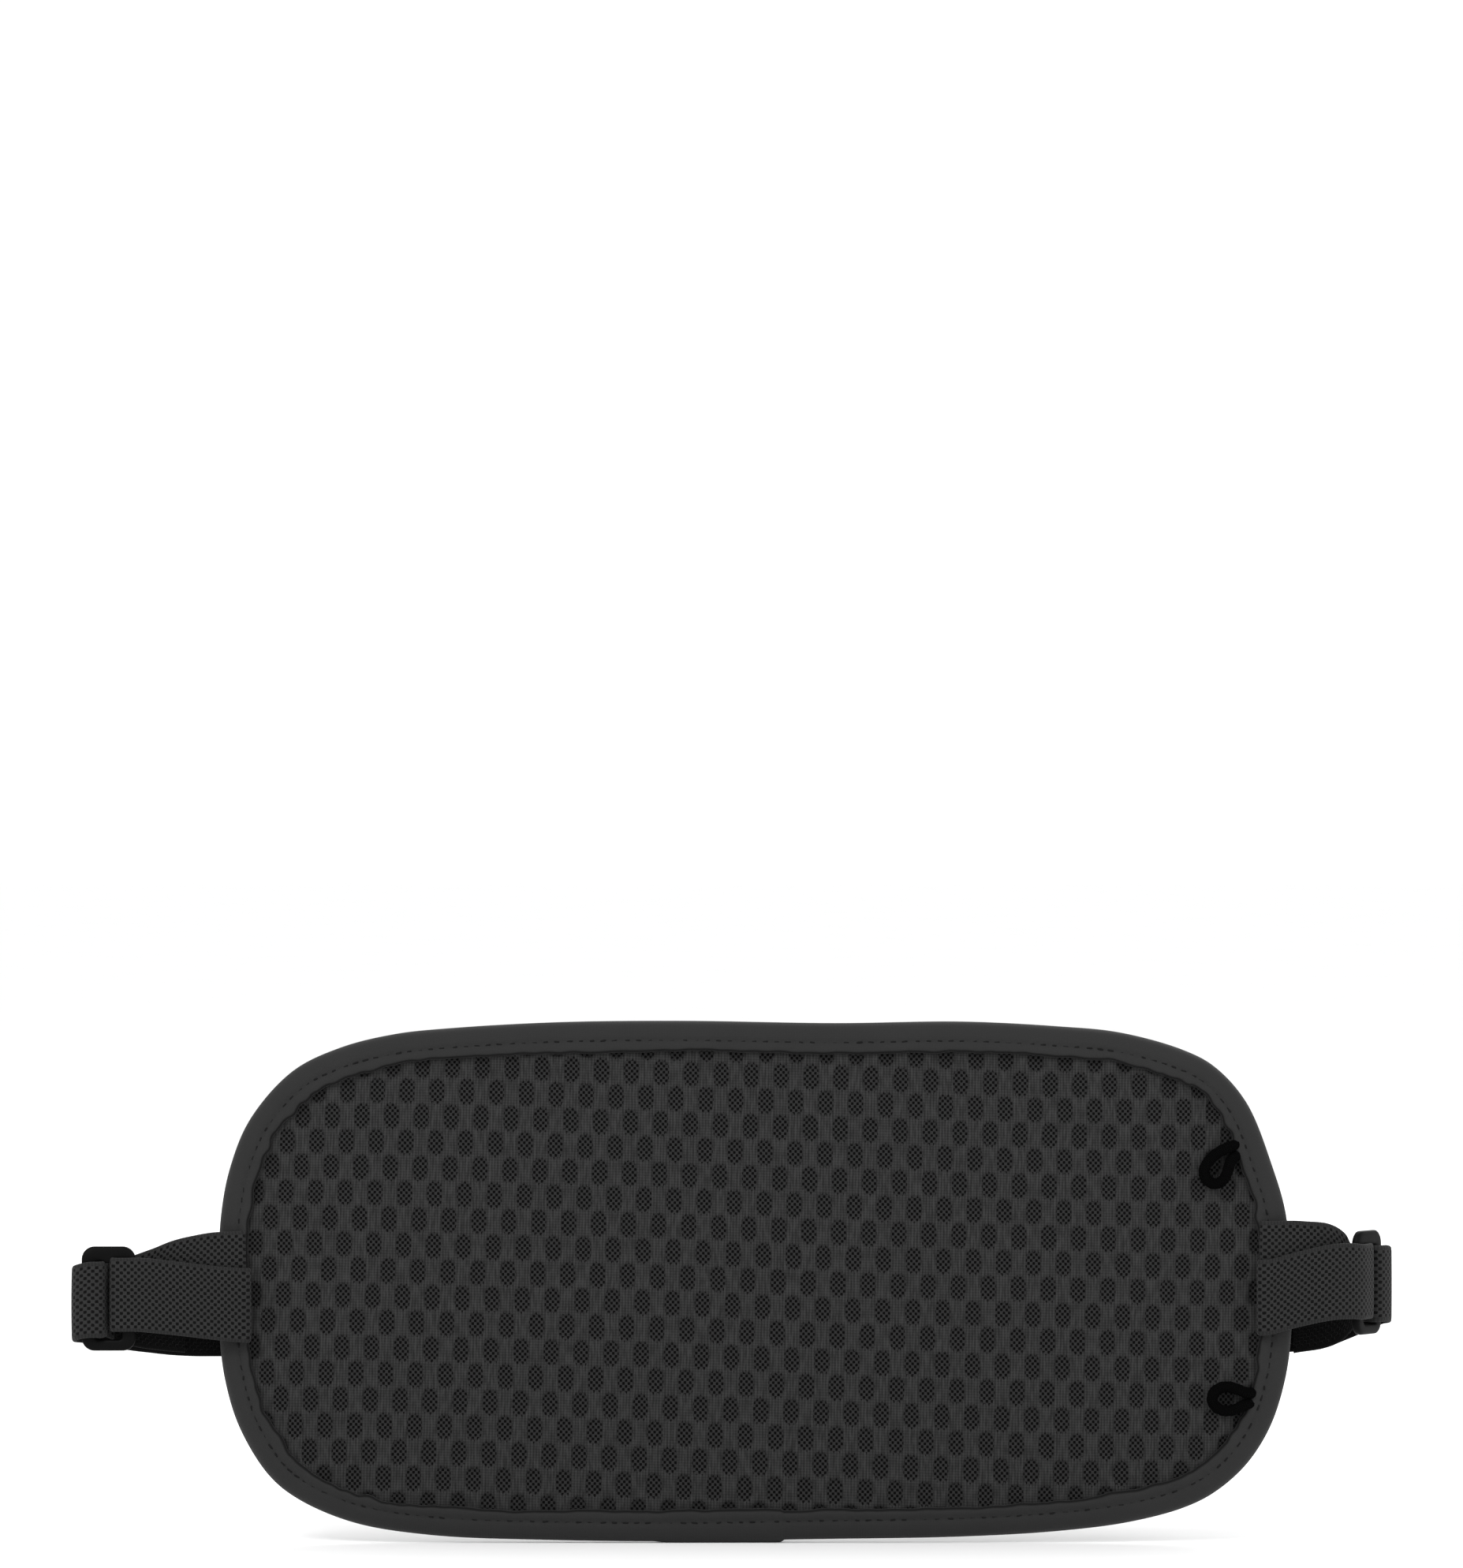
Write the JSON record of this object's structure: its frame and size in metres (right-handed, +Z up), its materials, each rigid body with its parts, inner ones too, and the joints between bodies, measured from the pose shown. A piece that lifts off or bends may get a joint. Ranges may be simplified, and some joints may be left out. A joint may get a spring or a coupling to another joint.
{
  "type": "money belt",
  "caption": "Flat zipped travel pouch with an air-mesh back and bound edge, on a buckled elastic waist strap.",
  "frame": {"origin": "middle of the mesh panel's outer face, which lies against the wearer", "axes": "+X along the belt to the right as seen from the mesh side, +Y away from the wearer, +Z up"},
  "size_m": [0.3424, 0.0406, 0.1342],
  "materials": {
    "air_mesh": "charcoal spacer mesh with staggered oval holes",
    "lining": "thin woven lining",
    "pouch_fabric": "charcoal plain-woven polyester",
    "binding_tape": "smooth charcoal binding tape",
    "zip_tape": "black woven zip tape",
    "zip_coil": "black nylon coil",
    "zip_metal": "black enamelled zinc",
    "elastic_webbing": "charcoal knitted elastic with a bird's-eye texture",
    "moulding": "black acetal moulding, low sheen",
    "elastic_cord": "black braided elastic cord"
  },
  "bodies": {
    "pouch": {"back_mesh_panel": "air_mesh", "back_lining": "lining", "pocket_divider": "lining", "front_lower_panel": "pouch_fabric", "front_middle_panel": "pouch_fabric", "front_top_panel": "pouch_fabric", "edge_binding": "binding_tape", "main_zip_upper_tape": "zip_tape", "main_zip_lower_tape": "zip_tape", "main_zip_upper_coil": "zip_coil", "main_zip_lower_coil": "zip_coil", "main_zip_left_stop": "zip_metal", "main_zip_right_stop": "zip_metal", "second_zip_upper_tape": "zip_tape", "second_zip_lower_tape": "zip_tape", "second_zip_upper_coil": "zip_coil", "second_zip_lower_coil": "zip_coil", "second_zip_left_stop": "zip_metal", "second_zip_right_stop": "zip_metal", "left_tab_loop": "elastic_webbing", "right_tab_loop": "elastic_webbing", "left_waist_strap": "elastic_webbing", "right_waist_strap": "elastic_webbing", "buckle_socket": "moulding"},
    "main_zip_slider": {"main_zip_slider": "zip_metal"},
    "main_zip_puller": {"main_zip_puller": "zip_metal"},
    "second_zip_slider": {"second_zip_slider": "zip_metal"},
    "second_zip_puller": {"second_zip_puller": "zip_metal"},
    "left_ring": {"left_ring": "moulding"},
    "right_ring": {"right_ring": "moulding"},
    "buckle_plug": {"buckle_plug": "moulding", "right_strap_run": "elastic_webbing", "strap_return_layer": "elastic_webbing"},
    "upper_prong": {"upper_prong": "moulding"},
    "lower_prong": {"lower_prong": "moulding"},
    "strap_adjuster": {"strap_adjuster": "moulding"},
    "upper_cord_loop": {"upper_cord_loop": "elastic_cord"},
    "lower_cord_loop": {"lower_cord_loop": "elastic_cord"}
  },
  "joints": [
    {"name": "main_zip_slide", "type": "slide", "parent": "pouch", "child": "main_zip_slider", "axis": [1, 0, 0], "range_m": [0, 0.184]},
    {"name": "main_puller_swing", "type": "hinge", "parent": "main_zip_slider", "child": "main_zip_puller", "pos_m": [-0.092, 0.01145, 0.048], "axis": [1, 0, 0], "range_deg": [-8, 160]},
    {"name": "second_zip_slide", "type": "slide", "parent": "pouch", "child": "second_zip_slider", "axis": [-1, 0, 0], "range_m": [0, 0.18]},
    {"name": "second_puller_swing", "type": "hinge", "parent": "second_zip_slider", "child": "second_zip_puller", "pos_m": [0.09, 0.01145, 0.021], "axis": [1, 0, 0], "range_deg": [-8, 160]},
    {"name": "left_ring_swivel", "type": "hinge", "parent": "pouch", "child": "left_ring", "pos_m": [-0.1619, -0.0019, -0.0042], "axis": [0, 0, 1], "range_deg": [-6, 4]},
    {"name": "right_ring_swivel", "type": "hinge", "parent": "pouch", "child": "right_ring", "pos_m": [0.1561, 0.0039, -0.0005], "axis": [0, 0, 1], "range_deg": [-6, 6]},
    {"name": "buckle_release", "type": "slide", "parent": "pouch", "child": "buckle_plug", "axis": [1, 0, 0], "range_m": [0, 0.022], "deforming": ["right_waist_strap"]},
    {"name": "upper_prong_squeeze", "type": "hinge", "parent": "buckle_plug", "child": "upper_prong", "pos_m": [0.0096, 0.03, -0.0011], "axis": [0, -1, 0], "range_deg": [0, 7], "stiffness_Nm_per_rad": 0.05},
    {"name": "lower_prong_squeeze", "type": "hinge", "parent": "buckle_plug", "child": "lower_prong", "pos_m": [0.0096, 0.03, -0.0169], "axis": [0, 1, 0], "range_deg": [0, 7], "stiffness_Nm_per_rad": 0.05},
    {"name": "adjuster_slide", "type": "slide", "parent": "buckle_plug", "child": "strap_adjuster", "axis": [1, 0, 0], "range_m": [-0.006, 0.026], "deforming": ["strap_return_layer"]},
    {"name": "upper_cord_loop_flip", "type": "hinge", "parent": "pouch", "child": "upper_cord_loop", "pos_m": [0.1233, -0.00145, 0.034], "axis": [-0.375, 0, 0.927], "range_deg": [0, 80], "stiffness_Nm_per_rad": 0.001},
    {"name": "lower_cord_loop_flip", "type": "hinge", "parent": "pouch", "child": "lower_cord_loop", "pos_m": [0.1268, -0.00145, -0.0295], "axis": [0.3, 0, 0.9539], "range_deg": [0, 80], "stiffness_Nm_per_rad": 0.001}
  ],
  "couplings": [
    {"joint": "lower_prong_squeeze", "follows": "upper_prong_squeeze", "ratio": 1}
  ]
}
